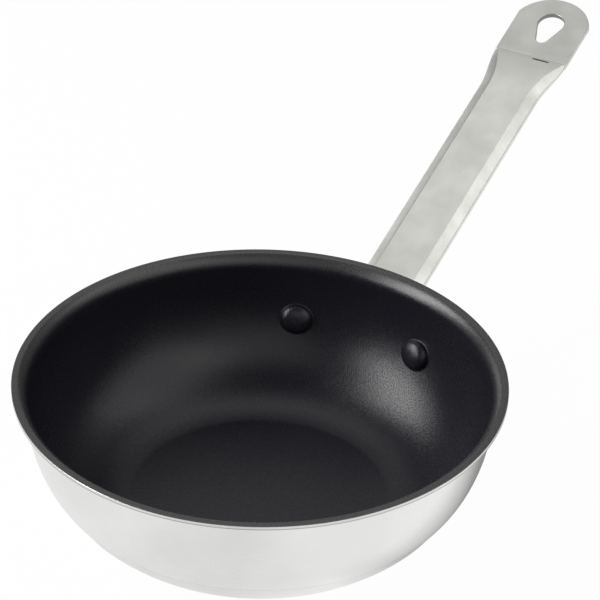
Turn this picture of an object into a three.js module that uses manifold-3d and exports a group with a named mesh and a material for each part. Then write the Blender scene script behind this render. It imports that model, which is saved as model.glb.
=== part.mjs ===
// A small round-bellied frying saucepan of drawn stainless steel, dark non-stick inside, with a
// riveted tube handle. Millimetres, +Z up. The origin is the centre of the base's underside, and the
// handle points along +X.
import * as THREE from "three";
import { mergeVertices } from "three/addons/utils/BufferGeometryUtils.js";
import Module from "manifold-3d";

const wasm = await Module();
wasm.setup();

// Bowl: one drawn sheet, coated inside and over the top of its pouring lip.
// A turn is an angle in degrees below the level, seen in the bowl's section.
const rimDiameter = 200; // over the lip's cut edge
const lipWidth = 6.6; // from the wall's coated face to the lip's edge
const lipBend = 4; // radius of the coated bend from lip to wall
const wallStraight = 4; // upright stretch under the bend
const bellyRadius = 62; // outside radius of the wall's curve
const bellyTurn = 24.8; // where the tighter foot curve takes over
const footBend = 41.2; // coated radius of the foot curve
const floorCrease = 4; // angle at which the foot curve meets the flat floor
const bowlSheet = 0.9;
const coatThickness = 0.3; // drawn thicker than a sprayed coat

// Encapsulated base: an aluminium disc under the floor, shut in by a magnetic steel cap
const discThickness = 4.7;
const discTurn = 58; // where the disc ends on the foot curve
const capSheet = 0.6;
const capTurn = 40; // where the cap's rim lies on the foot curve
const capRadius = 62; // outside radius of the cap's side
const baseInset = 35.85; // from the wall's outside in to the edge of the flat base
const footRound = 2; // rounding from the flat base to the cap's side
const bondGap = 0.1; // bond line between the layers of the base

// Two rivets through wall and bracket
const rivetTurn = 19.2; // their height on the belly curve, and the handle's
const rivetPitch = 57.7; // straight distance between their axes at the coated wall
const rivetHead = 11.8; // diameter of the bare head inside the pan
const rivetDome = 3.6; // height of that head
const rivetShank = 6;
const rivetTail = 11; // diameter of the closed head outside
const rivetTailDome = 2.4;
const shankClearance = 0.3;
const headGap = 0.3; // between a rivet head and the coat over it

// Bracket: a pressed plate along the wall with a tongue that fills the handle's mouth
const bracketSheet = 2.5;
const earRadius = 10.5; // round each rivet
const bracketMiddle = 24; // height of the plate behind the handle
const tongueLength = 28; // from the wall's outside into the handle
const seatGap = 0.3; // between the pieces that are seated on each other

// Handle: a tube pressed to flat faces, whose far end is pressed right down as a hanging eye
const handleRise = 18.9; // slope above the level, in degrees
const handleLength = 214.7; // from the wall's outside to the tip, along the slope
const tubeWidth = 28.6;
const tubeHeight = 6.8;
const tubeFlat = 19.7; // width of the flat top, between the slanted faces
const tubeEdge = 2.2; // height of the blunt side edges
const tubeSheet = 1.2;
const pressLength = 26; // over which the tube flattens
const eyeLength = 38.4; // flat end, from the crease to the tip
const eyeWidth = 35.4;
const tipBulge = 12.4; // how far the round tip stands past the straight sides
const holeLength = 19.3; // teardrop hole to hang it by
const holeWide = 12.5; // width at its outer end
const holeNarrow = 5.8; // width at its inner end
const holeSetback = 9.6; // from the tip
const hollowStop = 1; // the hollow ends this far short of the crease
const ventLength = 8; // slit in the crease that lets the hollow breathe
const ventWidth = 0.9;
const ventSetback = 1.6; // from the crease
const ventOffset = 5.6; // to the right of the middle, seen from the pan

// Facets
const roundSegments = 60;
const rivetSegments = 20;
const lipSteps = 3;
const bellySteps = 3;
const footSteps = 2; // for each of the three stretches of the foot curve
const capSteps = 2; // for each of the two stretches of the cap's side
const domeSteps = 4;
const curveSegments = 4;
const pressSteps = 7;

const rad = THREE.MathUtils.degToRad;
const point = (r, z) => new THREE.Vector2(r, z);
const direction = (turn) => point(Math.cos(rad(turn)), -Math.sin(rad(turn)));
const turnFrom = (centre, p) => THREE.MathUtils.radToDeg(Math.atan2(centre.y - p.y, p.x - centre.x));
const onArc = (centre, radius, turn) => direction(turn).multiplyScalar(radius).add(centre);

// Points of an arc between two turns, both ends included
function arc(centre, radius, from, to, steps) {
  const turns = Array.from({ length: steps + 1 }, (_, i) => from + ((to - from) * i) / steps);
  return turns.map((turn) => onArc(centre, radius, turn));
}

// Runs of points in a row, with the points that two runs share written once
function chain(...runs) {
  return runs.flat().filter((p, i, all) => i === 0 || p.distanceTo(all[i - 1]) > 1e-6);
}

// The point at the given distances from p and q, on the right of the way from p to q
function apex(p, fromP, q, fromQ) {
  const along = q.clone().sub(p);
  const span = along.length();
  along.normalize();
  const foot = (fromP ** 2 - fromQ ** 2 + span ** 2) / (2 * span);
  const height = Math.sqrt(fromP ** 2 - foot ** 2);
  return point(p.x + along.x * foot + along.y * height, p.y + along.y * foot - along.x * height);
}

// Levels, radii and centres that follow from the sizes above
const rimRadius = rimDiameter / 2;
const steelInside = coatThickness; // offsets of the bowl's faces, outwards from the coated face
const steelOutside = coatThickness + bowlSheet;
const bracketInside = steelOutside + seatGap;
const bracketOutside = bracketInside + bracketSheet;
const floorLevel = capSheet + discThickness + 2 * bondGap + steelOutside;
const wallInside = rimRadius - lipWidth;
const wallOutside = wallInside + steelOutside;
const bellyInside = bellyRadius - steelOutside;
const floorTurn = 90 - floorCrease;
const bellyDrop = bellyInside * Math.sin(rad(bellyTurn));
const footDrop = footBend * (Math.sin(rad(floorTurn)) - Math.sin(rad(bellyTurn)));
const bellyCentre = point(wallOutside - bellyRadius, floorLevel + bellyDrop + footDrop);
const footCentre = onArc(bellyCentre, bellyInside - footBend, bellyTurn);
const panHeight = bellyCentre.y + wallStraight + lipBend;
const lipCentre = point(wallInside + lipBend, panHeight - lipBend);

// The wall's section at a distance outside the coated face, from the straight stretch down to the floor
function wallFace(offset) {
  const fall = (footCentre.y - floorLevel + offset) / (footBend + offset);
  const floorEnd = THREE.MathUtils.radToDeg(Math.asin(fall));
  const footTurns = [bellyTurn, capTurn, discTurn, floorEnd];
  return chain(
    arc(bellyCentre, bellyInside + offset, 0, bellyTurn, bellySteps),
    ...footTurns.slice(1).map((to, i) => arc(footCentre, footBend + offset, footTurns[i], to, footSteps)),
  );
}

// The bowl's whole section at that distance, from the lip's edge to the axis
function bowlFace(offset) {
  return chain(
    [point(rimRadius, panHeight - offset)],
    arc(lipCentre, lipBend - offset, -90, -180, lipSteps),
    wallFace(offset),
    [point(0, floorLevel - offset)],
  );
}

// A closed solid of a geometry, for cutting and joining
function solidOf(geometry) {
  const bare = geometry.clone();
  bare.deleteAttribute("normal");
  bare.deleteAttribute("uv");
  const merged = mergeVertices(bare);
  const vertProperties = merged.attributes.position.array;
  const triVerts = new Uint32Array(merged.index.array);
  return new wasm.Manifold(new wasm.Mesh({ numProp: 3, vertProperties, triVerts }));
}

// A solid with every one of the cuts taken out of it
const without = (solid, ...cuts) => cuts.reduce((rest, cut) => rest.subtract(cut), solid);

function geometryOf(solid) {
  const { vertProperties, triVerts } = solid.getMesh();
  const geometry = new THREE.BufferGeometry();
  geometry.setAttribute("position", new THREE.BufferAttribute(vertProperties, 3));
  geometry.setIndex(new THREE.BufferAttribute(triVerts, 1));
  geometry.computeVertexNormals();
  return geometry;
}

// A section turned round the Z axis
const turned = (section, segments = roundSegments) =>
  new THREE.LatheGeometry(section, segments).rotateX(Math.PI / 2);

// A shape drawn across and up, pushed out along X
const acrossX = new THREE.Matrix4().makeBasis(
  new THREE.Vector3(0, 1, 0),
  new THREE.Vector3(0, 0, 1),
  new THREE.Vector3(1, 0, 0),
);
function pushed(shape, length, steps = 1) {
  const settings = { depth: length, steps, curveSegments, bevelEnabled: false };
  return new THREE.ExtrudeGeometry(shape, settings).applyMatrix4(acrossX);
}

// A layer of the bowl between two of its faces
const bowlLayer = (inner, outer) => solidOf(turned(chain(bowlFace(outer).toReversed(), bowlFace(inner))));

// Everything inside one face of the wall, up to the lip's level
function bowlVolume(offset) {
  const top = [point(wallInside + offset, panHeight), point(0, panHeight)];
  return turned(chain([point(0, floorLevel - offset)], wallFace(offset).toReversed(), top));
}

// The base's outer form
const baseRadius = wallOutside - baseInset;
const footRoundCentre = point(baseRadius, footRound);
const capRim = onArc(footCentre, footBend + steelOutside + bondGap, capTurn);
const capCentre = apex(capRim, capRadius - capSheet, footRoundCentre, capRadius - footRound);
const discEdge = onArc(footCentre, footBend + steelOutside + bondGap, discTurn);
const capRimTurn = turnFrom(capCentre, capRim);
const capDiscTurn = turnFrom(capCentre, discEdge);
const capFootTurn = turnFrom(capCentre, footRoundCentre);

// The cap's section at a distance inside its outer face, from the disc's edge down and in to the axis
function capFloorFace(depth) {
  return chain(
    arc(capCentre, capRadius - depth, capDiscTurn, capFootTurn, capSteps),
    arc(footRoundCentre, footRound - depth, capFootTurn, 90, capSteps),
    [point(0, depth)],
  );
}

function baseCapGeometry() {
  const side = (depth) => arc(capCentre, capRadius - depth, capRimTurn, capDiscTurn, capSteps);
  const outer = chain(side(0), capFloorFace(0));
  const inner = chain(side(capSheet), capFloorFace(capSheet));
  return turned(chain(outer.toReversed(), inner));
}

function heatDiscGeometry() {
  const under = capFloorFace(capSheet + bondGap);
  const bowlUnderside = steelOutside + bondGap;
  const foot = wallFace(bowlUnderside).slice(-(footSteps + 1));
  return turned(chain(under.toReversed(), foot, [point(0, floorLevel - bowlUnderside)]));
}

// A rivet's local Z runs outwards through the wall, from the bare steel inside.
// Its head is a shallow dome towards the inside of the pan, with a straight skirt into the wall.
function headDome(grow, skirt) {
  const radius = rivetHead / 2 + grow;
  const height = rivetDome + grow;
  const sphere = (radius ** 2 + height ** 2) / (2 * height);
  const edgeTurn = turnFrom(point(0, sphere - height), point(radius, 0));
  const dome = arc(point(0, sphere - height), sphere, 90, edgeTurn, domeSteps);
  return turned(chain(dome, [point(radius, skirt), point(0, skirt)]), rivetSegments);
}

const wallThrough = 1.5 * bowlSheet; // reach of a cut that goes right through coat and steel
const tailSeat = bracketOutside - steelInside + seatGap;

function shankGeometry() {
  const tailRadius = rivetTail / 2;
  const sphere = (tailRadius ** 2 + rivetTailDome ** 2) / (2 * rivetTailDome);
  const tailCentre = point(0, tailSeat + rivetTailDome - sphere);
  const tailEdge = turnFrom(tailCentre, point(tailRadius, tailSeat));
  const tailDome = arc(tailCentre, sphere, tailEdge, -90, domeSteps);
  const start = -rivetDome / 2;
  const shank = [point(0, start), point(rivetShank / 2, start), point(rivetShank / 2, tailSeat)];
  return turned(chain(shank, tailDome), rivetSegments);
}

function shankHole() {
  const radius = rivetShank / 2 + shankClearance;
  const length = 2 * (tailSeat + rivetTailDome);
  return new THREE.CylinderGeometry(radius, radius, length, rivetSegments).rotateX(Math.PI / 2);
}

// The scene: a rivet stands on the wall inside a group that swings it round the pan
const saucepan = new THREE.Group();
const rivetSeat = onArc(bellyCentre, bellyInside + steelInside, rivetTurn);
const coatAtRivet = onArc(bellyCentre, bellyInside, rivetTurn);
const rivetSwing = Math.asin(rivetPitch / 2 / coatAtRivet.x);

function onWall(swing) {
  const group = new THREE.Group();
  const seat = new THREE.Group();
  group.rotation.z = swing;
  seat.position.set(rivetSeat.x, 0, rivetSeat.y);
  seat.rotation.y = Math.PI / 2 + rad(rivetTurn);
  group.add(seat);
  saucepan.add(group);
  group.updateMatrixWorld(true);
  return seat;
}

const rivetSeats = { rivet_left: onWall(rivetSwing), rivet_right: onWall(-rivetSwing) };
const seats = Object.values(rivetSeats);
const atSeats = (geometry) => seats.map((seat) => solidOf(geometry.clone().applyMatrix4(seat.matrixWorld)));

// The head's underside follows the wall
function rivetGeometry() {
  const inside = bowlVolume(steelInside - seatGap).applyMatrix4(seats[0].matrix.clone().invert());
  const head = solidOf(headDome(0, wallThrough)).intersect(solidOf(inside));
  return geometryOf(head.add(solidOf(shankGeometry())));
}

// The bowl with its rivet holes, and the coat that runs on over the rivet heads
function bowlGeometry() {
  return geometryOf(without(bowlLayer(steelInside, steelOutside), ...atSeats(shankHole())));
}

function coatGeometry() {
  const withinCoat = solidOf(bowlVolume(coatThickness / 2));
  const domes = atSeats(headDome(headGap + coatThickness, wallThrough));
  const pockets = atSeats(headDome(headGap, wallThrough));
  const skin = bowlLayer(0, steelInside);
  const covered = domes.reduce((coat, dome) => coat.add(dome.intersect(withinCoat)), skin);
  return geometryOf(without(covered, ...pockets));
}

// Handle: local X runs along the tube from the wall's outside, local Z is square to its top
const handle = new THREE.Group();
const handleRoot = onArc(bellyCentre, bellyRadius, rivetTurn);
handle.position.set(handleRoot.x, 0, handleRoot.y);
handle.rotation.y = -rad(handleRise);
handle.updateMatrixWorld(true);
saucepan.add(handle);
const rootLap = tubeWidth / 2; // how far the tube and tongue start inside the wall before they are cut

// Corners of the tube's section at a depth inside its outer face: the flat's end and the blunt edge
function tubeCorners(inset) {
  const slant = Math.atan2(tubeHeight - tubeEdge, tubeWidth - tubeFlat);
  const flat = point(tubeFlat / 2 - inset * Math.tan(slant / 2), tubeHeight / 2 - inset);
  const side = tubeWidth / 2 - inset;
  const edge = flat.y - (side - flat.x) * Math.tan(slant);
  return { flat, edge: point(side, Math.max(edge, flat.y / 20)) };
}

function tubeShape(inset) {
  const { flat, edge } = tubeCorners(inset);
  const right = [point(edge.x, -edge.y), edge, flat];
  const left = [point(-flat.x, flat.y), point(-edge.x, edge.y), point(-edge.x, -edge.y)];
  return new THREE.Shape([...right, ...left, point(-flat.x, -flat.y), point(flat.x, -flat.y)]);
}

const crease = handleLength - eyeLength;
const pressStart = crease - pressLength;

// The tube's outer or inner form: straight, then pressed down towards the crease, where the flats spread
// to the eye's width and the slanted faces run out
function pressedTube(inset, end) {
  const { flat, edge } = tubeCorners(inset);
  const pressedTop = tubeSheet - inset;
  const flatEnd = point(eyeWidth / 2 - inset - tubeSheet / 2, pressedTop);
  const edgeEnd = point(eyeWidth / 2 - inset, pressedTop / 2);
  const stations = [-rootLap];
  for (let i = 0; i <= pressSteps; i++) {
    stations.push(pressStart + ((end - pressStart) * i) / pressSteps);
  }
  const geometry = pushed(tubeShape(inset), 1, stations.length - 1);
  const position = geometry.attributes.position;
  for (let i = 0; i < position.count; i++) {
    const x = stations[Math.round(position.getX(i) * (stations.length - 1))];
    const pressed = Math.max(0, (x - pressStart) / pressLength) ** 2;
    const [y, z] = [position.getY(i), position.getZ(i)];
    const onFlat = Math.abs(y) < (flat.x + edge.x) / 2;
    const corner = onFlat ? flat.clone().lerp(flatEnd, pressed) : edge.clone().lerp(edgeEnd, pressed);
    position.setXYZ(i, x, Math.sign(y) * corner.x, Math.sign(z) * corner.y);
  }
  return geometry;
}

// The flat eye, with its teardrop hole
function eyeGeometry() {
  const half = eyeWidth / 2;
  const tipRadius = (half ** 2 + tipBulge ** 2) / (2 * tipBulge);
  const tipSweep = Math.asin(half / tipRadius);
  const outline = new THREE.Shape();
  outline.moveTo(crease - hollowStop, -half);
  outline.lineTo(handleLength - tipBulge, -half);
  outline.absarc(handleLength - tipRadius, 0, tipRadius, -tipSweep, tipSweep);
  outline.lineTo(crease - hollowStop, half);
  const wide = holeWide / 2;
  const narrow = holeNarrow / 2;
  const wideCentre = handleLength - holeSetback - wide;
  const narrowCentre = handleLength - holeSetback - holeLength + narrow;
  const tangent = Math.acos((narrow - wide) / (wideCentre - narrowCentre));
  const hole = new THREE.Path();
  hole.absarc(wideCentre, 0, wide, -tangent, tangent);
  hole.absarc(narrowCentre, 0, narrow, tangent, 2 * Math.PI - tangent);
  outline.holes.push(hole);
  const thickness = 2 * tubeSheet;
  const settings = { depth: thickness, curveSegments: 2 * curveSegments, bevelEnabled: false };
  return new THREE.ExtrudeGeometry(outline, settings).translate(0, 0, -thickness / 2);
}

// The tube's mouth is cut to the bracket's face
function handleTubeGeometry() {
  const wall = bowlVolume(bracketOutside + seatGap).applyMatrix4(handle.matrixWorld.clone().invert());
  const vent = new THREE.BoxGeometry(ventWidth, ventLength, tubeHeight);
  vent.translate(crease - ventSetback, -ventOffset, tubeHeight / 2);
  const outer = solidOf(pressedTube(0, crease)).add(solidOf(eyeGeometry()));
  const hollow = solidOf(pressedTube(tubeSheet, crease - hollowStop));
  return geometryOf(without(outer, hollow, solidOf(vent), solidOf(wall)));
}

// The bracket follows the wall, with an ear round each rivet and a tongue inside the tube
function bracketGeometry() {
  const middle = onArc(bellyCentre, bellyInside + (bracketInside + bracketOutside) / 2, rivetTurn);
  const earOut = middle.x * Math.sin(rivetSwing);
  const half = bracketMiddle / 2;
  const outline = new THREE.Shape();
  outline.absarc(earOut, 0, earRadius, -Math.PI / 2, Math.PI / 2);
  outline.bezierCurveTo(earOut / 2, earRadius, earOut / 2, half, 0, half);
  outline.bezierCurveTo(-earOut / 2, half, -earOut / 2, earRadius, -earOut, earRadius);
  outline.absarc(-earOut, 0, earRadius, Math.PI / 2, 1.5 * Math.PI);
  outline.bezierCurveTo(-earOut / 2, -earRadius, -earOut / 2, -half, 0, -half);
  outline.bezierCurveTo(earOut / 2, -half, earOut / 2, -earRadius, earOut, -earRadius);
  const ears = solidOf(pushed(outline, rimRadius).translate(0, 0, middle.y));
  const shell = chain(wallFace(bracketInside), wallFace(bracketOutside).toReversed());
  const plate = solidOf(turned([...shell, shell[0]])).intersect(ears);
  const tongue = pushed(tubeShape(tubeSheet + seatGap), tongueLength + rootLap);
  tongue.translate(-rootLap, 0, 0).applyMatrix4(handle.matrixWorld);
  const clearTongue = solidOf(tongue).subtract(solidOf(bowlVolume(bracketInside)));
  return geometryOf(without(plate.add(clearTongue), ...atSeats(shankHole())));
}

// Materials
const metal = (color, roughness) => new THREE.MeshStandardMaterial({ color, roughness, metalness: 1 });
const satinSteel = metal(0xdcdcda, 0.32);
const magneticSteel = metal(0xd2d2d0, 0.38);
const aluminium = metal(0xc6c9cc, 0.5);
const brushedSteel = metal(0xc9c9c6, 0.36);
const rivetSteel = metal(0xbfbfbd, 0.4);
const nonstick = new THREE.MeshStandardMaterial({ color: 0x1e1f24, roughness: 0.42, metalness: 0 });

function add(parent, name, geometry, material) {
  const mesh = new THREE.Mesh(geometry, material);
  mesh.name = name;
  parent.add(mesh);
}

add(saucepan, "bowl", bowlGeometry(), satinSteel);
add(saucepan, "nonstick_coating", coatGeometry(), nonstick);
add(saucepan, "heat_disc", heatDiscGeometry(), aluminium);
add(saucepan, "base_cap", baseCapGeometry(), magneticSteel);
add(saucepan, "handle_bracket", bracketGeometry(), brushedSteel);
add(handle, "handle_tube", handleTubeGeometry(), brushedSteel);
const rivet = rivetGeometry();
for (const [name, seat] of Object.entries(rivetSeats)) {
  add(seat, name, rivet, rivetSteel);
}

export default saucepan;
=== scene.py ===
# A small round-bellied saucepan of drawn steel, dark non-stick inside, with a riveted tube handle.
# Metres, +Z up. The origin is the centre of the base's underside, and the handle points along +X.
import math

import bmesh
import bpy
from mathutils import Matrix, Quaternion, Vector


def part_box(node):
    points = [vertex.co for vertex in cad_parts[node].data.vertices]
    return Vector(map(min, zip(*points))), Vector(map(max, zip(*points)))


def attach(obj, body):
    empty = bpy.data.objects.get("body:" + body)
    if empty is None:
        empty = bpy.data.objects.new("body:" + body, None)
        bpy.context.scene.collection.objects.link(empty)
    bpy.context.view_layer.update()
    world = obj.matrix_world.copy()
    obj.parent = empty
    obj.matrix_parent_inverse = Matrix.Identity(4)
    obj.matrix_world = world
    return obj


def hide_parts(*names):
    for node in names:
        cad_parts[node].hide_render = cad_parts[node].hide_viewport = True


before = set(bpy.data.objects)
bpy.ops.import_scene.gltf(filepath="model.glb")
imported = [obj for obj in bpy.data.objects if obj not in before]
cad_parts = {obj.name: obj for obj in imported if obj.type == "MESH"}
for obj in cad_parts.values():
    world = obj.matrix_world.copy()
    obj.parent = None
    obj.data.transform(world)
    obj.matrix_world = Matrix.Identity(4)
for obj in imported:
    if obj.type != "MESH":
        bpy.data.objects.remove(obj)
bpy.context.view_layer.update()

# Bowl
# One disc of stainless sheet, drawn to a round belly with a pouring lip turned out at the top.
# It is satin polished on a lathe, so the fine lines run round it, and two holes take the rivets.
mm = 0.001
rim_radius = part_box("bowl")[1].x
lip_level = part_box("nonstick_coating")[1].z
lip_width = 6.6 * mm  # from the wall's coated face to the lip's edge
lip_height = 8 * mm  # from the top of the belly's curve to the lip
lip_fold = 2.3 * mm  # coated radius of the bend next to the flat lip
lip_sweep = 7.5 * mm  # coated radius of the bend from there down to the wall
lip_change = math.radians(32)  # slope where one runs into the other
edge_drop = 0.7 * mm  # how far the lip's edge is turned down
belly_bend = 60.8 * mm  # coated radius of the wall's curve
belly_turn = math.radians(24.8)  # turns are angles below the level, in the bowl's section
foot_bend = 41.2 * mm
floor_turn = math.radians(86)  # where the foot's curve meets the flat floor
coat_thickness = 0.3 * mm
bowl_sheet = 0.9 * mm
cut_edge_round = 0.2 * mm
rivet_turn = math.radians(19.2)  # height of the rivets on the belly's curve
rivet_pitch = 57.7 * mm
rivet_hole = 3.3 * mm
drill_length = 24 * mm
shaded_edge_width = 1 * mm  # width of the lip's edge that gets painted shade
band_fade = 0.1 * mm
corner_height = 0.25 * mm  # above the edge's lower corner: up to here it has the corner's tone
edge_height = 0.8 * mm  # and from here on the edge's
corner_shade_tone = 0.45  # of the polished colour: a painted shadow along the edge's lower corner
edge_shade_tone = 0.9
steel_colour = (0.86, 0.86, 0.85, 1)
steel_shade = (0.8, 0.8, 0.79, 1)

wall_inside = rim_radius - lip_width
belly_centre = Vector((wall_inside - belly_bend, lip_level - lip_height))


def turned_to(turn):
    return Vector((math.cos(turn), -math.sin(turn)))


foot_centre = belly_centre + turned_to(belly_turn) * (belly_bend - foot_bend)
floor_level = foot_centre.y - foot_bend * math.sin(floor_turn)
belly_length = belly_bend * belly_turn
wall_length = belly_length + foot_bend * (floor_turn - belly_turn)


def arc(centre, radius, start, end, steps):
    turns = [start + (end - start) * i / steps for i in range(steps + 1)]
    return [centre + turned_to(turn) * radius for turn in turns]


# A point of the wall's section, by its distance along the curve, and the way outwards there
def wall_at(along):
    if along < belly_length:
        out = turned_to(along / belly_bend)
        return belly_centre + out * belly_bend, out
    out = turned_to(belly_turn + (along - belly_length) / foot_bend)
    return foot_centre + out * foot_bend, out


# The lip's two bends at a distance outside the coated face, from the flat lip down to the wall
def lip_bends(offset):
    level = -math.pi / 2
    change = level - lip_change
    drop = lip_fold * (1 - math.cos(lip_change)) + lip_sweep * math.cos(lip_change)
    sweep_centre = Vector((wall_inside + lip_sweep, lip_level - drop))
    fold_centre = sweep_centre + turned_to(change) * (lip_sweep - lip_fold)
    fold = arc(fold_centre, lip_fold - offset, level, change, steps=6)
    return fold + arc(sweep_centre, lip_sweep - offset, change, -math.pi, steps=10)[1:]


# The bowl's section at a distance outside the coated face, from the lip's bend to the axis
def bowl_face(offset, wall_steps=40):
    face = lip_bends(offset)
    for step in range(wall_steps + 1):
        on_wall, out = wall_at(wall_length * step / wall_steps)
        face.append(on_wall + out * offset)
    return face + [Vector((0, floor_level - offset))]


# Places a node in a tree, with its settings and with what feeds its sockets
def place(tree, kind, settings, feeds):
    made = tree.nodes.new(kind)
    for name, value in settings.items():
        setattr(made, name, value)
    for socket, value in feeds.items():
        if isinstance(value, bpy.types.NodeSocket):
            tree.links.new(value, made.inputs[socket])
        else:
            made.inputs[socket].default_value = value
    return made


def add_sockets(tree, way, **sockets):
    for name, kind in sockets.items():
        tree.interface.new_socket(name.replace("_", " "), in_out=way, socket_type="NodeSocket" + kind)


# One step of arithmetic in a tree
def maths(tree, operation, first, second=0.0):
    return place(tree, "ShaderNodeMath", {"operation": operation}, {0: first, 1: second}).outputs[0]


# The same on vectors, where the result is a vector
def vector_maths(tree, operation, first, second=(0, 0, 0)):
    return place(tree, "ShaderNodeVectorMath", {"operation": operation}, {0: first, 1: second}).outputs[0]


# And where it is a number: a length, a distance, or a dot product for the reach along a way
def measured(tree, operation, first, second=(0, 0, 0)):
    made = place(tree, "ShaderNodeVectorMath", {"operation": operation}, {0: first, 1: second})
    return made.outputs["Value"]


def scaled(tree, vector, scale):
    made = place(tree, "ShaderNodeVectorMath", {"operation": "SCALE"}, {0: vector, "Scale": scale})
    return made.outputs[0]


# A value that runs from one end to the other while another runs from low to high, and stays there
def ranged(tree, value, low, high, at_low=0.0, at_high=1.0):
    made = place(
        tree, "ShaderNodeMapRange", {},
        {"Value": value, "From Min": low, "From Max": high, "To Min": at_low, "To Max": at_high},
    )
    return made.outputs[0]


def blended(tree, share, first, second):
    made = place(tree, "ShaderNodeMix", {"data_type": "RGBA"}, {"Factor": share, "A": first, "B": second})
    return made.outputs["Result"]


def height_of(tree, spot):
    return place(tree, "ShaderNodeSeparateXYZ", {}, {0: spot}).outputs["Z"]


def noise(tree, spot, scale, detail, roughness):
    made = place(
        tree, "ShaderNodeTexNoise", {},
        {"Vector": spot, "Scale": scale, "Detail": detail, "Roughness": roughness},
    )
    return made.outputs[0]


# Ends a geometry tree in a plain mesh with its material
def end_tree(tree, shape, material):
    whole = place(tree, "GeometryNodeRealizeInstances", {}, {0: shape})
    finish = place(tree, "GeometryNodeSetMaterial", {}, {"Geometry": whole.outputs[0], "Material": material})
    place(tree, "NodeGroupOutput", {}, {0: finish.outputs[0]})


# A section drawn as a curve across X and Z is turned round the Z axis
def lathe_tree():
    tree = bpy.data.node_groups.new("Turned from a section", "GeometryNodeTree")
    add_sockets(tree, "INPUT", Section="Geometry", Segments="Int", Material="Material")
    add_sockets(tree, "OUTPUT", Geometry="Geometry")
    given = tree.nodes.new("NodeGroupInput").outputs
    columns = maths(tree, "ADD", given["Segments"], 1)
    rows = place(tree, "GeometryNodeAttributeDomainSize", {"component": "CURVE"}, {0: given["Section"]})
    grid = place(tree, "GeometryNodeMeshGrid", {}, {"Vertices X": rows.outputs[0], "Vertices Y": columns})
    index = tree.nodes.new("GeometryNodeInputIndex").outputs[0]
    middle = maths(tree, "ADD", index, 0.5)  # half a step, so that no row is lost to rounding
    row = maths(tree, "FLOOR", maths(tree, "DIVIDE", middle, columns))
    column = maths(tree, "SUBTRACT", index, maths(tree, "MULTIPLY", row, columns))
    angle = maths(tree, "MULTIPLY", maths(tree, "DIVIDE", column, given["Segments"]), math.tau)
    spot = tree.nodes.new("GeometryNodeInputPosition").outputs[0]
    sample = place(
        tree, "GeometryNodeSampleIndex", {"data_type": "FLOAT_VECTOR", "domain": "POINT"},
        {"Geometry": given["Section"], "Value": spot, "Index": row},
    )
    swung = place(
        tree, "ShaderNodeVectorRotate", {"rotation_type": "Z_AXIS"},
        {"Vector": sample.outputs[0], "Angle": angle},
    )
    shaped = place(
        tree, "GeometryNodeSetPosition", {},
        {"Geometry": grid.outputs[0], "Position": swung.outputs[0]},
    )
    closed = place(
        tree, "GeometryNodeMergeByDistance", {},
        {"Geometry": shaped.outputs[0], "Distance": 1e-6},
    )
    end_tree(tree, closed.outputs[0], given["Material"])
    return tree


lathe = lathe_tree()


# Sets a tree's named inputs on a modifier
def feed(modifier, tree, values):
    for item in tree.interface.items_tree:
        if item.item_type == "SOCKET" and item.in_out == "INPUT" and item.name in values:
            modifier[item.identifier] = values[item.name]


# The plain mesh that an object's modifiers make, with its faces outwards and its sharp edges marked
def made_plain(source, name, sharp=30):
    bpy.context.view_layer.update()
    graph = bpy.context.evaluated_depsgraph_get()
    mesh = bpy.data.meshes.new_from_object(source.evaluated_get(graph), depsgraph=graph)
    bpy.data.objects.remove(source)
    mesh.name = name
    shell = bmesh.new()
    shell.from_mesh(mesh)
    bmesh.ops.remove_doubles(shell, verts=shell.verts, dist=1e-7)
    bmesh.ops.recalc_face_normals(shell, faces=shell.faces)
    shell.to_mesh(mesh)
    shell.free()
    mesh.shade_smooth()
    mesh.set_sharp_from_angle(angle=math.radians(sharp))
    return mesh


def linked(name, data):
    made = bpy.data.objects.new(name, data)
    bpy.context.scene.collection.objects.link(made)
    return made


def add_line(curve, points):
    line = curve.splines.new("POLY")
    line.points.add(len(points) - 1)
    for spot, p in zip(line.points, points):
        spot.co = (*p, 1)
    return line


# A curve across X and Z through the points of a section
def section_curve(name, points):
    curve = bpy.data.curves.new(name, "CURVE")
    curve.dimensions = "3D"
    add_line(curve, [(p.x, 0, p.y) for p in points])
    return linked(name, curve)


def turned(name, points, material, segments=256):
    source = section_curve(name + "_section", points)
    lathe_step = source.modifiers.new("turned", "NODES")
    lathe_step.node_group = lathe
    feed(lathe_step, lathe, {"Segments": segments, "Material": material})
    return made_plain(source, name)


def new_material(name):
    material = bpy.data.materials.new(name)
    material.use_nodes = True
    return material, material.node_tree, material.node_tree.nodes["Principled BSDF"]


# Object coordinates bent round the pan's axis, so that a pattern stretched along the first two follows
# the polish: X and Y go round the pan, Z goes along the section
def round_the_pan_group():
    tree = bpy.data.node_groups.new("Round the pan", "ShaderNodeTree")
    add_sockets(tree, "INPUT", Position="Vector", Around="Float", Across="Float")
    add_sockets(tree, "OUTPUT", Vector="Vector")
    given = tree.nodes.new("NodeGroupInput").outputs
    flat = vector_maths(tree, "MULTIPLY", given["Position"], (1, 1, 0))
    around = scaled(tree, vector_maths(tree, "NORMALIZE", flat), given["Around"])
    parts = place(tree, "ShaderNodeSeparateXYZ", {}, {0: around})
    along = maths(tree, "ADD", measured(tree, "LENGTH", flat), height_of(tree, given["Position"]))
    across = maths(tree, "MULTIPLY", along, given["Across"])
    bent = place(
        tree, "ShaderNodeCombineXYZ", {},
        {0: parts.outputs["X"], 1: parts.outputs["Y"], 2: across},
    )
    place(tree, "NodeGroupOutput", {}, {0: bent.outputs[0]})
    return tree


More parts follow.
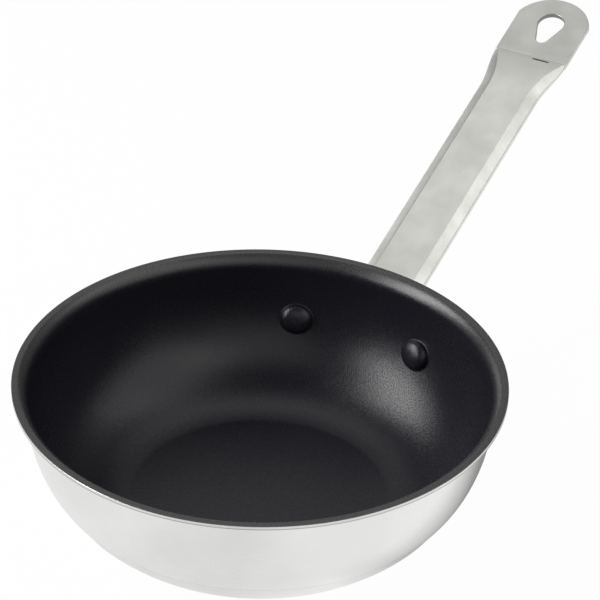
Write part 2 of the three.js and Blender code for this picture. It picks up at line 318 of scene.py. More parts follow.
# Satin steel: soft cloudy patches from the polishing wheel, fine lines along the polish and a grain
def satin_group():
    tree = bpy.data.node_groups.new("Satin polish", "ShaderNodeTree")
    add_sockets(
        tree, "INPUT", Position="Vector", Polish="Vector", Patch_size="Float", Light="Color", Shade="Color",
        Smooth="Float", Rough="Float",
    )
    add_sockets(tree, "OUTPUT", Colour="Color", Roughness="Float", Height="Float")
    given = tree.nodes.new("NodeGroupInput").outputs
    cloud_share = 0.75  # and the rest are streaks along the polish
    per_patch = maths(tree, "DIVIDE", 1.0, given["Patch size"])
    patches = noise(tree, given["Position"], per_patch, detail=3.0, roughness=0.55)
    lines = noise(tree, given["Polish"], 1.0, detail=2.0, roughness=0.6)
    clouds = maths(tree, "MULTIPLY", ranged(tree, patches, low=0.35, high=0.65), cloud_share)
    streaks = maths(tree, "MULTIPLY", ranged(tree, lines, low=0.3, high=0.7), 1 - cloud_share)
    mixed = maths(tree, "ADD", clouds, streaks)
    colour = blended(tree, mixed, given["Light"], given["Shade"])
    rough = ranged(tree, mixed, low=0.0, high=1.0, at_low=given["Smooth"], at_high=given["Rough"])
    place(tree, "NodeGroupOutput", {}, {"Colour": colour, "Roughness": rough, "Height": lines})
    return tree


round_the_pan = round_the_pan_group()
satin = satin_group()


# Gives a metal the colour, roughness and fine relief of its polish
def polished(tree, shader, polish, strength, depth):
    relief = place(
        tree, "ShaderNodeBump", {},
        {"Height": polish.outputs["Height"], "Strength": strength, "Distance": depth},
    )
    tree.links.new(polish.outputs["Colour"], shader.inputs["Base Color"])
    tree.links.new(polish.outputs["Roughness"], shader.inputs["Roughness"])
    tree.links.new(relief.outputs[0], shader.inputs["Normal"])
    shader.inputs["Metallic"].default_value = 1.0


# A steel polished on the lathe
def turned_steel(name, light, shade, smooth, rough, line_width, line_depth):
    material, tree, shader = new_material(name)
    spot = tree.nodes.new("ShaderNodeTexCoord").outputs["Object"]
    bent = place(
        tree, "ShaderNodeGroup", {"node_tree": round_the_pan},
        {"Position": spot, "Around": 5.0, "Across": 1 / line_width},
    )
    polish = place(
        tree, "ShaderNodeGroup", {"node_tree": satin},
        {"Position": spot, "Polish": bent.outputs[0], "Patch size": 45 * mm, "Light": light, "Shade": shade,
         "Smooth": smooth, "Rough": rough},
    )
    polished(tree, shader, polish, strength=0.25, depth=line_depth)
    return material


# Where the rivets stand: local Z goes outwards through the wall, from the bare steel inside
rivet_along = belly_bend * rivet_turn
rivet_spot, rivet_out = wall_at(rivet_along)
rivet_swing = math.asin(rivet_pitch / 2 / rivet_spot.x)
rivet_seat = rivet_spot + rivet_out * coat_thickness
rivet_upright = Matrix.Translation((rivet_seat.x, 0, rivet_seat.y)) @ Matrix.Rotation(
    math.pi / 2 + rivet_turn, 4, "Y"
)


def mesh_of(name, shell):
    mesh = bpy.data.meshes.new(name)
    shell.to_mesh(mesh)
    shell.free()
    return mesh


# Two drills through the wall, as a cutter for what the rivets pass through
def rivet_drills():
    drills = bmesh.new()
    for swing in (rivet_swing, -rivet_swing):
        place_there = Matrix.Rotation(swing, 4, "Z") @ rivet_upright
        bmesh.ops.create_cone(
            drills, cap_ends=True, segments=32, radius1=rivet_hole, radius2=rivet_hole, depth=drill_length,
            matrix=place_there,
        )
    return linked("rivet_drills", mesh_of("rivet_drills", drills))


# Cuts a tool out of a piece or joins it on
def worked(source, tool, operation):
    step = source.modifiers.new(tool.name, "BOOLEAN")
    step.object = tool
    step.operation = operation
    step.solver = "EXACT"


# The lip's edge: both corners rounded, and the inner side of what is turned down
def rounded_edge(top, bottom):
    corner = cut_edge_round
    upper = arc(Vector((rim_radius - corner, top - corner)), corner, -math.pi / 2, 0, steps=3)
    lower = arc(Vector((rim_radius - corner, bottom + corner)), corner, 0, math.pi / 2, steps=3)
    inside = rim_radius - bowl_sheet
    return upper + lower + [Vector((inside, bottom)), Vector((inside, bottom + edge_drop))]


# Painted shade on the lip's edge: a little grey all over, and darkest along its lower corner as a painted
# shadow line
def shaded_lip_edge(material):
    tree = material.node_tree
    shader = tree.nodes["Principled BSDF"]
    bright = shader.inputs["Base Color"].links[0].from_socket
    spot = tree.nodes.new("ShaderNodeTexCoord").outputs["Object"]
    radius = measured(tree, "LENGTH", vector_maths(tree, "MULTIPLY", spot, (1, 1, 0)))
    band = rim_radius - shaded_edge_width
    on_edge = ranged(tree, radius, band - band_fade, band + band_fade)
    grey = ranged(
        tree, height_of(tree, spot), edge_bottom + corner_height, edge_bottom + edge_height,
        at_low=corner_shade_tone, at_high=edge_shade_tone,
    )
    colour = blended(tree, on_edge, bright, scaled(tree, bright, grey))
    tree.links.new(colour, shader.inputs["Base Color"])


steel_outside = coat_thickness + bowl_sheet
edge_bottom = lip_level - steel_outside - edge_drop
satin_steel = turned_steel(
    "satin_steel", steel_colour, steel_shade, smooth=0.22, rough=0.34,
    line_width=0.35 * mm, line_depth=0.02 * mm,
)
shaded_lip_edge(satin_steel)
lip_edge = rounded_edge(lip_level - coat_thickness, edge_bottom)
bowl_section = bowl_face(coat_thickness)[::-1] + lip_edge + bowl_face(steel_outside)
drills = rivet_drills()
bowl_source = linked("turned_bowl", turned("turned_bowl", bowl_section, satin_steel))
worked(bowl_source, drills, "DIFFERENCE")
bowl = linked("drawn_bowl", made_plain(bowl_source, "drawn_bowl"))
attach(bowl, "root")
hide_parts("bowl")

# Non-stick coat
# A dark coat sprayed over the inside, the top of the lip and the rivet heads, then baked on.
# It has a soft sheen, a fine orange-peel grain and tiny bright flecks of its filler.
head_radius = 6.8 * mm  # over the coat
head_height = 4.1 * mm
head_oval = 1.06  # driven at a slant to the wall, so a little wider than high
head_flatness = 0.8  # 1 is half a ball pressed flat, less is a flatter top on a steeper edge
head_fillet = 0.2 * mm  # where the coat runs from the wall up the head
head_apron = 0.6 * mm  # ring of plain wall round the head's foot
head_steps = 12
window_cells = 4  # cells of the wall's grid on each side of a rivet's middle
cell = 2.4 * mm
rows_above = 4  # rows of the wall between the lip's bend and the rivets
columns_to_rivet = 12
columns_elsewhere = 208
near_edge = 1 * mm  # close rows keep the lip's edge and the floor's edge crisp
near_floor = 0.4 * mm
floor_start = 2 * mm
floor_rows = 20
coat_colour = (0.0112, 0.011, 0.016, 1)
fleck_colour = (0.028, 0.028, 0.033, 1)
fleck_spacing = 1.1 * mm
peel_size = 0.5 * mm
peel_depth = 0.12 * mm
cloud_size = 30 * mm
coat_gloss = 0.45
lip_colour = (0.038, 0.038, 0.038, 1)  # lighter grey over the lip; down its bend this is painted light, where the bend catches the lamps
lip_gloss = 0.75
lip_tone_from = 4.4 * mm  # below the lip's top
lip_tone_full = 1.2 * mm


def spread(start, end, steps):
    return [start + (end - start) * i / steps for i in range(steps)]


# Angles round the pan, with one on each rivet
coat_angles = spread(-rivet_swing, rivet_swing, 2 * columns_to_rivet)
coat_angles += spread(rivet_swing, math.tau - rivet_swing, columns_elsewhere)

# Places along the wall, even around the rivets' height
window_top = rivet_along - window_cells * cell
window_bottom = rivet_along + window_cells * cell
below = wall_length - window_bottom
last_row = wall_length - near_floor
wall_rows = spread(0, window_top, rows_above) + spread(window_top, window_bottom, 2 * window_cells)
wall_rows += spread(window_bottom, last_row, round(below / cell)) + [last_row]
coat_rows = [Vector((rim_radius, lip_level)), Vector((rim_radius - near_edge, lip_level))] + lip_bends(0)
first_wall_row = len(coat_rows)
coat_rows += [wall_at(along)[0] for along in wall_rows]
floor_edge = wall_at(wall_length)[0].x
for radius in [floor_edge, floor_edge - near_floor] + spread(floor_edge - floor_start, 0, floor_rows):
    coat_rows.append(Vector((radius, floor_level)))


def round_axis(p, angle):
    return Vector((p.x * math.cos(angle), p.x * math.sin(angle), p.y))


# Rings of a coated rivet head, from its foot on the wall to the ring next to its top, as distance from
# the rivet's axis and height above the coated wall
def head_rings():
    foot = head_radius + head_fillet
    rings = [(foot + head_apron, 0), (foot, 0), (head_radius + head_fillet / 3, head_fillet / 3)]
    for lean in spread(0, math.pi / 2, head_steps):
        across = head_radius * math.cos(lean) ** head_flatness
        rings.append((across, head_fillet + (head_height - head_fillet) * math.sin(lean) ** head_flatness))
    return rings


# Fills the window that the wall's grid leaves round a rivet: rings up to the head's top
def coat_head(skin, rim, swing, rim_spots):
    def on_head(way, distance, height):
        on_wall, out = wall_at(rivet_along + distance * math.sin(way) / head_oval)
        across = distance * math.cos(way) * head_oval
        return round_axis(on_wall - out * height, swing + across / rivet_spot.x)

    ways = [math.atan2(down, across) for across, down in rim_spots]
    last = rim
    for distance, height in head_rings():
        ring = [skin.verts.new(on_head(way, distance, height)) for way in ways]
        for i in range(len(ring)):
            skin.faces.new((last[i - 1], last[i], ring[i], ring[i - 1]))
        last = ring
    top = skin.verts.new(on_head(0, 0, head_height))
    for i in range(len(last)):
        skin.faces.new((last[i - 1], last[i], top))


# The coat's face: a grid round the pan that leaves a window for each rivet head
def coat_mesh():
    skin = bmesh.new()
    count = len(coat_angles)
    rows = [[skin.verts.new(round_axis(p, angle)) for angle in coat_angles] for p in coat_rows]
    pole = skin.verts.new((0, 0, floor_level))
    top = first_wall_row + rows_above
    bottom = top + 2 * window_cells
    middles = (2 * columns_to_rivet, 0)
    side = range(-window_cells, window_cells)
    windows = [(middle + x) % count for middle in middles for x in side]
    for i in range(len(rows) - 1):
        for j in range(count):
            if top <= i < bottom and j in windows:
                continue
            k = (j + 1) % count
            skin.faces.new((rows[i][j], rows[i][k], rows[i + 1][k], rows[i + 1][j]))
    for j in range(count):
        skin.faces.new((rows[-1][j], rows[-1][(j + 1) % count], pole))
    loop = [(x, -window_cells) for x in side] + [(window_cells, y) for y in side]
    loop += [(-x, window_cells) for x in side] + [(-window_cells, -y) for y in side]
    for middle, swing in zip(middles, (rivet_swing, -rivet_swing)):
        rim = [rows[top + window_cells + y][(middle + x) % count] for x, y in loop]
        coat_head(skin, rim, swing, loop)
    skin.verts.ensure_lookup_table()
    loose = [v for v in skin.verts if not v.link_faces]
    bmesh.ops.delete(skin, geom=loose, context="VERTS")
    bmesh.ops.recalc_face_normals(skin, faces=skin.faces)
    skin.faces.ensure_lookup_table()
    lowest = min(skin.faces, key=lambda face: face.calc_center_median().z)
    if lowest.normal.z < 0:
        bmesh.ops.reverse_faces(skin, faces=skin.faces)
    return mesh_of("coat_skin", skin)


def coat_material():
    material, tree, shader = new_material("nonstick")
    spot = tree.nodes.new("ShaderNodeTexCoord").outputs["Object"]
    peel = noise(tree, spot, 1 / peel_size, detail=2.0, roughness=0.5)
    cloud = noise(tree, spot, 1 / cloud_size, detail=2.0, roughness=0.5)
    filler = place(
        tree, "ShaderNodeTexVoronoi", {},
        {"Vector": spot, "Scale": 1 / fleck_spacing, "Randomness": 1.0},
    )
    flecks = ranged(tree, filler.outputs["Distance"], low=0.08, high=0.2, at_low=1.0, at_high=0.0)
    rough = ranged(tree, cloud, low=0.3, high=0.7, at_low=0.17, at_high=0.21)
    grain = ranged(tree, peel, low=0.3, high=0.7, at_high=0.14)
    relief = place(tree, "ShaderNodeBump", {}, {"Height": peel, "Strength": 0.8, "Distance": peel_depth})
    # Lighter grey over the lip, and painted light down its lit bend
    on_lip = ranged(tree, height_of(tree, spot), lip_level - lip_tone_from, lip_level - lip_tone_full)
    colour = blended(tree, on_lip, blended(tree, flecks, coat_colour, fleck_colour), lip_colour)
    gloss = ranged(tree, on_lip, low=0.0, high=1.0, at_low=coat_gloss, at_high=lip_gloss)
    tree.links.new(colour, shader.inputs["Base Color"])
    tree.links.new(maths(tree, "ADD", rough, grain), shader.inputs["Roughness"])
    tree.links.new(relief.outputs[0], shader.inputs["Normal"])
    tree.links.new(gloss, shader.inputs["Specular IOR Level"])
    return material


nonstick = coat_material()
coat_source = linked("coat_skin", coat_mesh())
coat_source.data.materials.append(nonstick)
coat_body = coat_source.modifiers.new("coat thickness", "SOLIDIFY")
coat_body.thickness = coat_thickness
coat_body.offset = -1
coat = linked("sprayed_coat", made_plain(coat_source, "sprayed_coat", sharp=50))
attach(coat, "root")
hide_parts("nonstick_coating")

# Heat disc
# A disc of rolled aluminium pressed under the floor. It spreads the heat, and the base cap shuts it in,
# so only a cut through the base would show its rolled grain.
disc_colour = (0.80, 0.81, 0.82, 1)
disc_shade = (0.66, 0.67, 0.69, 1)


# A metal with a straight grain along X, which can be pitched up about Y
def rolled_metal(name, light, shade, smooth, rough, grain_length, grain_width, pitch=0):
    material, tree, shader = new_material(name)
    spot = tree.nodes.new("ShaderNodeTexCoord").outputs["Object"]
    stretch = (1 / grain_length, 1 / grain_width, 1 / grain_width)
    laid = place(
        tree, "ShaderNodeMapping", {},
        {"Vector": spot, "Rotation": (0, pitch, 0), "Scale": stretch},
    )
    polish = place(
        tree, "ShaderNodeGroup", {"node_tree": satin},
        {"Position": spot, "Polish": laid.outputs[0], "Patch size": 16 * mm, "Light": light, "Shade": shade,
         "Smooth": smooth, "Rough": rough},
    )
    polished(tree, shader, polish, strength=0.3, depth=0.02 * mm)
    return material


aluminium = rolled_metal(
    "aluminium_core", disc_colour, disc_shade, smooth=0.4, rough=0.55,
    grain_length=14 * mm, grain_width=0.4 * mm,
)
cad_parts["heat_disc"].material_slots[0].material = aluminium

# Base cap
# A drawn cap of magnetic steel, pressed and bonded over the disc, so the pan heats on any hob.
# Its side carries on the curve of the belly, and its flat underside is faced with fine rings.
cap_sheet = 0.6 * mm
cap_bend = 62 * mm  # outside radius of its side
cap_foot_round = 2 * mm
cap_feather = math.radians(9)  # stretch below the rim over which its side is polished down
rim_left = 0.012 * mm  # how proud the rim is left
base_radius = 58.75 * mm
bond = 0.012 * mm  # between the bowl and the cap at the rim
underside_rings = 16
cap_colour = (0.85, 0.85, 0.84, 1)
cap_shade = (0.79, 0.79, 0.78, 1)

cap_rim = Vector((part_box("base_cap")[1].x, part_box("base_cap")[1].z))
cap_foot = Vector((base_radius, cap_foot_round))


# The point at the given distances from p and q, on the right of the way from p to q
def apex(p, from_p, q, from_q):
    way = (q - p).normalized()
    span = (q - p).length
    foot = (from_p**2 - from_q**2 + span**2) / (2 * span)
    height = math.sqrt(from_p**2 - foot**2)
    return p + way * foot + Vector((way.y, -way.x)) * height


def turn_of(centre, p):
    return math.atan2(centre.y - p.y, p.x - centre.x)


cap_centre = apex(cap_rim, cap_bend, cap_foot, cap_bend - cap_foot_round)
cap_top_turn = turn_of(cap_centre, cap_rim)
cap_foot_turn = turn_of(cap_centre, cap_foot)


# A share from 0 to 1 that starts and ends softly
def eased(share):
    return share * share * (3 - 2 * share)


# The side is polished down to the bowl towards its rim, so that only a hairline is left of the seam
def cap_face(depth, rim_proud):
    rim_turn = turn_of(foot_centre, cap_rim)
    bowl_outside = foot_bend + steel_outside
    side = []
    for p in arc(cap_centre, cap_bend - depth, cap_top_turn, cap_foot_turn, steps=40):
        turn = turn_of(foot_centre, p)
        share = max(0, min(1, (turn - rim_turn) / cap_feather))
        proud = (p - foot_centre).length - bowl_outside
        proud = rim_proud + (proud - rim_proud) * eased(share)
        side.append(foot_centre + turned_to(turn) * (bowl_outside + proud))
    foot = arc(cap_foot, cap_foot_round - depth, cap_foot_turn, math.pi / 2, steps=8)
    rings = [Vector((radius, depth)) for radius in spread(base_radius, 0, underside_rings)[1:]]
    return side + foot[1:] + rings + [Vector((0, depth))]


cap_section = cap_face(0, rim_left)[::-1] + cap_face(cap_sheet, bond / 2)
magnetic_steel = turned_steel(
    "magnetic_steel", cap_colour, cap_shade, smooth=0.24, rough=0.36,
    line_width=0.4 * mm, line_depth=0.03 * mm,
)
cap = linked("capsule_cap", turned("capsule_cap", cap_section, magnetic_steel))
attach(cap, "root")
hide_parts("base_cap")

# Bracket
# A plate pressed from thick steel sheet to the curve of the wall, with an ear round each rivet.
# The rivets clamp it to the bowl, and the mouth of the handle's tube is joined to its middle.
bracket_gap = 0.3 * mm
bracket_sheet = 2.5 * mm
bracket_edge = 0.6 * mm  # rounding of its cut edges
ear_radius = 10.5 * mm
ear_shift = 1.1 * mm  # from the rivet's place on the coated wall outwards to the ear's middle
bracket_middle = 24 * mm
bracket_cell = 2 * mm
outline_steps = 12
handle_rise = math.radians(18.9)
handle_grain = 9 * mm
handle_line = 0.35 * mm
handle_colour = (0.78, 0.783, 0.74, 1)
handle_shade = (0.71, 0.713, 0.675, 1)

bracket_inside = steel_outside + bracket_gap
bracket_outside = bracket_inside + bracket_sheet
ear_out = rivet_spot.x * math.sin(rivet_swing) + ear_shift


# How far along X a face stands that lies outside the coated wall, at a place across and up
def wall_reach(across, level, offset):
    fall = belly_centre.y - level
    if fall < (belly_bend + offset) * math.sin(belly_turn):
        radius = belly_centre.x + math.sqrt((belly_bend + offset) ** 2 - fall**2)
    else:
        fall = foot_centre.y - level
        radius = foot_centre.x + math.sqrt((foot_bend + offset) ** 2 - fall**2)
    return math.sqrt(radius**2 - across**2)


# The plate's outline: a quarter goes round the ear and swells to the middle, and is mirrored
def bracket_outline():
    swelling = bracket_middle / 2 - ear_radius
    quarter = []
    for lean in spread(0, math.pi / 2, outline_steps):
        quarter.append(Vector((ear_out + ear_radius * math.cos(lean), ear_radius * math.sin(lean))))
    for share in spread(0, 1, outline_steps) + [1]:
        quarter.append(Vector((ear_out * (1 - share), ear_radius + swelling * eased(share))))
    left = [Vector((-p.x, p.y)) for p in quarter[-2::-1]]
    upper = quarter + left
    lower = [Vector((p.x, -p.y)) for p in upper[-2:0:-1]]
    return upper + lower


# The outline is filled, cut into cells and laid on the wall, as the plate's inner face
def bracket_plate():
    plate = bmesh.new()
    plate.faces.new([plate.verts.new((p.x, p.y, 0)) for p in bracket_outline()])
    reach = ear_out + ear_radius
    for way, limit in (((1, 0, 0), reach), ((0, 1, 0), bracket_middle / 2)):
        count = int(limit / bracket_cell)
        for i in range(-count, count + 1):
            everything = plate.verts[:] + plate.edges[:] + plate.faces[:]
            cut = Vector(way) * i * bracket_cell
            bmesh.ops.bisect_plane(plate, geom=everything, plane_co=cut, plane_no=way)
    middle_level = rivet_spot.y - bracket_outside * math.sin(rivet_turn) / 2
    for v in plate.verts:
        across = v.co.x
        level = middle_level + v.co.y
        v.co = (wall_reach(across, level, bracket_inside), across, level)
    bmesh.ops.recalc_face_normals(plate, faces=plate.faces)
    plate.faces.ensure_lookup_table()
    if plate.faces[0].normal.x > 0:
        bmesh.ops.reverse_faces(plate, faces=plate.faces)
    return mesh_of("bracket_plate", plate)


handle_steel = rolled_metal(
    "handle_steel", handle_colour, handle_shade, smooth=0.32, rough=0.43,
    grain_length=handle_grain, grain_width=handle_line, pitch=handle_rise,
)
bracket_source = linked("bracket_plate", bracket_plate())
bracket_source.data.materials.append(handle_steel)
bracket_body = bracket_source.modifiers.new("plate thickness", "SOLIDIFY")
bracket_body.thickness = bracket_sheet
bracket_body.offset = -1
bracket_body.use_even_offset = True
worked(bracket_source, drills, "DIFFERENCE")
soft_edge = bracket_source.modifiers.new("cut edges", "BEVEL")
soft_edge.width = bracket_edge
soft_edge.segments = 3
soft_edge.angle_limit = math.radians(50)
bracket = linked("bracket", made_plain(bracket_source, "bracket"))
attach(bracket, "root")
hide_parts("handle_bracket")
bpy.data.objects.remove(drills)

# Rivets
# Two solid steel rivets, driven through wall and bracket from inside and closed on the bracket.
# Their heads inside the pan are coated over, so only the closed ends show their steel.
rivet_head = 5.9 * mm
rivet_dome = 3.6 * mm
rivet_shank = 3 * mm
rivet_tail = 5.5 * mm
rivet_tail_dome = 2.4 * mm
rivet_colour = (0.74, 0.74, 0.73, 1)
rivet_shade = (0.62, 0.62, 0.61, 1)


# Two rivets swung to both sides of the handle from one turned rivet
def rivets_tree():
    tree = bpy.data.node_groups.new("Pair of rivets", "GeometryNodeTree")
    add_sockets(
        tree, "INPUT", Section="Geometry", Segments="Int", Material="Material", Seat="Vector", Lean="Vector",
        Swing="Float",
    )
    add_sockets(tree, "OUTPUT", Geometry="Geometry")
    given = tree.nodes.new("NodeGroupInput").outputs
    one = place(
        tree, "GeometryNodeGroup", {"node_tree": lathe},
        {"Section": given["Section"], "Segments": given["Segments"], "Material": given["Material"]},
    )
    seated = place(
        tree, "GeometryNodeTransform", {},
        {"Geometry": one.outputs[0], "Translation": given["Seat"], "Rotation": given["Lean"]},
    )
    spots = place(tree, "GeometryNodePoints", {}, {"Count": 2})
    index = tree.nodes.new("GeometryNodeInputIndex").outputs[0]
    side = maths(tree, "SUBTRACT", 1.0, maths(tree, "MULTIPLY", index, 2.0))
    turn = place(
        tree, "ShaderNodeCombineXYZ", {},
        {"Z": maths(tree, "MULTIPLY", side, given["Swing"])},
    )
    pair = place(
        tree, "GeometryNodeInstanceOnPoints", {},
        {"Points": spots.outputs[0], "Instance": seated.outputs[0], "Rotation": turn.outputs[0]},
    )
    end_tree(tree, pair.outputs[0], given["Material"])
    return tree


# A low dome over a base, as a section from its edge to its top
def dome_arc(radius, height, base, steps):
    ball = (radius**2 + height**2) / (2 * height)
    edge = math.asin(radius / ball)
    return [Vector((ball * math.sin(lean), base + ball * math.cos(lean) - ball + height))
            for lean in spread(edge, 0, steps) + [0]]


tail_seat = bracket_outside - coat_thickness + bracket_gap
head_dome = [Vector((p.x, -p.y)) for p in dome_arc(rivet_head, rivet_dome, 0, steps=10)][::-1]
rivet_section = head_dome + [Vector((rivet_shank, 0)), Vector((rivet_shank, tail_seat))]
rivet_section += dome_arc(rivet_tail, rivet_tail_dome, tail_seat, steps=12)
rivet_steel = rolled_metal(
    "rivet_steel", rivet_colour, rivet_shade, smooth=0.28, rough=0.4,
    grain_length=handle_grain, grain_width=handle_line,
)
rivets_source = section_curve("rivet_section", rivet_section)
pair_step = rivets_source.modifiers.new("pair", "NODES")
pair_tree = rivets_tree()
pair_step.node_group = pair_tree
feed(pair_step, pair_tree, {
    "Segments": 40, "Material": rivet_steel, "Seat": (rivet_seat.x, 0, rivet_seat.y),
    "Lean": (0, math.pi / 2 + rivet_turn, 0), "Swing": rivet_swing,
})
rivets = linked("rivets", made_plain(rivets_source, "rivets"))
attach(rivets, "root")
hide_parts("rivet_left", "rivet_right")

# Handle
# A steel tube pressed to flat sides, its mouth shaped to the bracket and its far end pressed flat as a
# hanging eye. A slit is left in the crease, so that the hollow can breathe in the oven.
handle_length = 214.7 * mm  # from the wall's outside to the tip
tube_width = 28.6 * mm
tube_height = 6.8 * mm
tube_flat = 19.7 * mm  # width of the flat top
tube_edge = 2.2 * mm  # height of the blunt side edges
tube_round = 0.35 * mm  # rounding of its bends
pressed_round = 0.25 * mm  # of the same bends at the crease
least_round = 0.05 * mm
tube_sheet = 1.2 * mm
past_mouth = 30 * mm  # from the wall's outside to the first plain ring of the tube
plain_rings = 8
press_length = 26 * mm
eye_length = 38.4 * mm
eye_width = 35.4 * mm
eye_edge = 0.35 * mm
tip_bulge = 12.4 * mm
hole_length = 19.3 * mm
hole_wide = 6.25 * mm  # radius at its outer end
hole_narrow = 2.9 * mm  # radius at its inner end
hole_setback = 9.6 * mm
vent_length = 8 * mm
vent_width = 0.9 * mm
vent_setback = 1.6 * mm
vent_offset = 5.6 * mm
hollow_stop = 1 * mm
eye_tone = 0.83  # of the tube's own colour
# painted shade on the wall of the eye's hole
hole_shade_tone = 0.3
tone_fade = 1 * mm  # on each side of the crease
hole_shade_reach = 0.6 * hole_length  # from the hole's middle

handle_root = belly_centre + turned_to(rivet_turn) * (belly_bend + steel_outside)
handle_place = Matrix.Translation((handle_root.x, 0, handle_root.y)) @ Matrix.Rotation(-handle_rise, 4, "Y")
crease = handle_length - eye_length
press_start = crease - press_length


# Corners of a quarter of the tube's section at a depth inside its outer face: the flat's end and the edge
def tube_corners(inset):
    slant = math.atan2(tube_height - tube_edge, tube_width - tube_flat)
    flat = Vector((tube_flat / 2 - inset * math.tan(slant / 2), tube_height / 2 - inset))
    side = tube_width / 2 - inset
    return flat, Vector((side, flat.y - (side - flat.x) * math.tan(slant)))


# A bend at a corner between two neighbours, as points on a curve that touches both lines
def bent_corner(before, corner, after, radius, steps=5):
    start = corner + (before - corner).normalized() * radius
    end = corner + (after - corner).normalized() * radius
    shares = [i / steps for i in range(steps + 1)]
    return [start * (1 - t) ** 2 + corner * 2 * t * (1 - t) + end * t**2 for t in shares]


# Points round the tube's section
def tube_loop(flat, edge, radius):
    corners = [Vector((x * p.x, y * p.y)) for x, y, run in (
        (1, 1, (edge, flat)), (-1, 1, (flat, edge)), (-1, -1, (edge, flat)), (1, -1, (flat, edge))
    ) for p in run]
    loop = []
    for i, corner in enumerate(corners):
        loop += bent_corner(corners[i - 1], corner, corners[(i + 1) % len(corners)], radius)
    return loop


# Where a line along the tube meets the bracket's face
def mouth_at(across, up):
    offset = bracket_outside + bracket_gap
    near = -30 * mm
    far = 60 * mm
    halvings = 40
    for _ in range(halvings):
        middle = (near + far) / 2
        spot = handle_place @ Vector((middle, across, up))
        if spot.x < wall_reach(spot.y, spot.z, offset):
            near = middle
        else:
            far = middle
    return far


# The tube's outer or inner face, as rings from the mouth to an end. It is pressed down towards the
# crease, where the flats spread to the eye's width and the slanted faces run out
def tube_rings(inset, end, steps=20):
    flat, edge = tube_corners(inset)
    low = tube_sheet - inset
    flat_end = Vector((eye_width / 2 - inset - tube_sheet / 2, low))
    edge_end = Vector((eye_width / 2 - inset, low / 2))
    bend = max(tube_round - inset, least_round)
    rings = [[Vector((mouth_at(p.x, p.y), p.x, p.y)) for p in tube_loop(flat, edge, bend)]]
    stations = spread(past_mouth, press_start, plain_rings) + spread(press_start, end, steps) + [end]
    for station in stations:
        share = max(0, (station - press_start) / press_length)
        pressed = share**2
        bend_here = bend + (min(bend, pressed_round) - bend) * pressed
        loop = tube_loop(flat.lerp(flat_end, pressed), edge.lerp(edge_end, eased(share)), bend_here)
        rings.append([Vector((station, p.x, p.y)) for p in loop])
    return rings


# Faces between neighbouring rings
def skin_rings(shell, rings):
    rows = [[shell.verts.new(p) for p in ring] for ring in rings]
    for lower, upper in zip(rows, rows[1:]):
        for i in range(len(lower)):
            shell.faces.new((lower[i - 1], lower[i], upper[i], upper[i - 1]))
    return rows


# The tube with its hollow, open at the mouth and shut before the crease
def tube_mesh():
    shell = bmesh.new()
    outer = skin_rings(shell, tube_rings(0, crease))
    inner = skin_rings(shell, tube_rings(tube_sheet, crease - hollow_stop))
    for i in range(len(outer[0])):
        shell.faces.new((outer[0][i - 1], outer[0][i], inner[0][i], inner[0][i - 1]))
    shell.faces.new(outer[-1])
    shell.faces.new(inner[-1])
    bmesh.ops.recalc_face_normals(shell, faces=shell.faces)
    return mesh_of("tube", shell)


# Round stretches of the eye's outline, as points between two angles
def round_run(middle, radius, start, end, steps):
    angles = spread(start, end, steps) + [end]
    return [Vector((middle + radius * math.cos(a), radius * math.sin(a))) for a in angles]


# The outlines of the eye and of its teardrop hole
def eye_outlines():
    half = eye_width / 2
    tip_radius = (half**2 + tip_bulge**2) / (2 * tip_bulge)
    sweep = math.asin(half / tip_radius)
    start = crease - hollow_stop
    outline = [Vector((start, -half))]
    outline += round_run(handle_length - tip_radius, tip_radius, -sweep, sweep, steps=40)
    outline.append(Vector((start, half)))
    wide_middle = handle_length - hole_setback - hole_wide
    narrow_middle = handle_length - hole_setback - hole_length + hole_narrow
    lean = math.acos((hole_narrow - hole_wide) / (wide_middle - narrow_middle))
    hole = round_run(wide_middle, hole_wide, -lean, lean, steps=32)
    hole += round_run(narrow_middle, hole_narrow, lean, math.tau - lean, steps=16)
    return outline, hole


# The flat eye, two sheets thick, with rounded edges
def eye_plate():
    curve = bpy.data.curves.new("eye", "CURVE")
    curve.dimensions = "2D"
    curve.fill_mode = "BOTH"
    curve.extrude = tube_sheet - eye_edge
    curve.bevel_depth = eye_edge
    curve.bevel_resolution = 2
    curve.offset = -eye_edge
    for points in eye_outlines():
        add_line(curve, [(p.x, p.y, 0) for p in points]).use_cyclic_u = True
    return linked("eye", made_plain(linked("eye_curve", curve), "eye"))


# The press leaves the eye greyer than the tube, and the wall of its hole gets painted shade
def pressed_eye_and_hole_shade(material):
    tree = material.node_tree
    shader = tree.nodes["Principled BSDF"]
    bright = shader.inputs["Base Color"].links[0].from_socket
    given = tree.nodes.new("ShaderNodeTexCoord").outputs
    along = handle_place.to_3x3() @ Vector((1, 0, 0))
    up = handle_place.to_3x3() @ Vector((0, 0, 1))
    fold = (handle_place @ Vector((crease, 0, 0))).dot(along)
    reach = measured(tree, "DOT_PRODUCT", given["Object"], along)
    on_eye = ranged(tree, reach, fold - tone_fade, fold + tone_fade)
    facing = maths(tree, "ABSOLUTE", measured(tree, "DOT_PRODUCT", given["Normal"], up))
    level = ranged(tree, facing, low=0.4, high=0.9)
    hole_middle = handle_place @ Vector((handle_length - hole_setback - hole_length / 2, 0, 0))
    to_hole = measured(tree, "DISTANCE", given["Object"], hole_middle)
    past_hole = maths(tree, "GREATER_THAN", to_hole, hole_shade_reach)
    flat = maths(tree, "MAXIMUM", level, past_hole)
    tone = ranged(tree, flat, low=0.0, high=1.0, at_low=hole_shade_tone, at_high=eye_tone)
    colour = blended(tree, on_eye, bright, scaled(tree, bright, tone))
    tree.links.new(colour, shader.inputs["Base Color"])


# A bar that cuts the slit
def vent_cutter():
    cutter = bmesh.new()
    bmesh.ops.create_cube(cutter, size=1)
    size = Matrix.Diagonal((vent_width, vent_length, tube_height, 1))
    spot = Matrix.Translation((crease - vent_setback, -vent_offset, tube_height / 2))
    bmesh.ops.transform(cutter, matrix=spot @ size, verts=cutter.verts)
    return linked("vent", mesh_of("vent", cutter))


